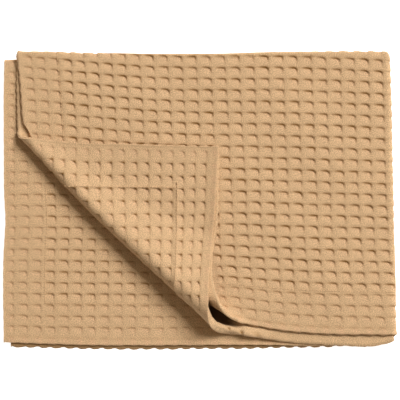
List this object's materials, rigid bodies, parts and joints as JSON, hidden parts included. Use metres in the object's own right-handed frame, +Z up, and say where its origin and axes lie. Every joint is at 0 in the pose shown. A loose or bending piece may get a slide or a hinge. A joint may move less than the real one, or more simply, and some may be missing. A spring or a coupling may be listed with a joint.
{
  "type": "folded waffle weave cotton blanket",
  "caption": "Small cotton blanket in a deep waffle weave, hemmed all round, folded in four and laid flat with one corner turned back.",
  "frame": {"origin": "on the floor, under the middle of the folded blanket's bounding box", "axes": "+X towards the crease that joins the upper and lower leaves, +Y towards the long crease at the back, +Z up"},
  "size_m": [0.5187, 0.3927, 0.0427],
  "materials": {
    "sand_cotton": "matt waffle weave cotton, sand coloured"
  },
  "bodies": {
    "root": {"blanket": "sand_cotton"}
  },
  "joints": []
}
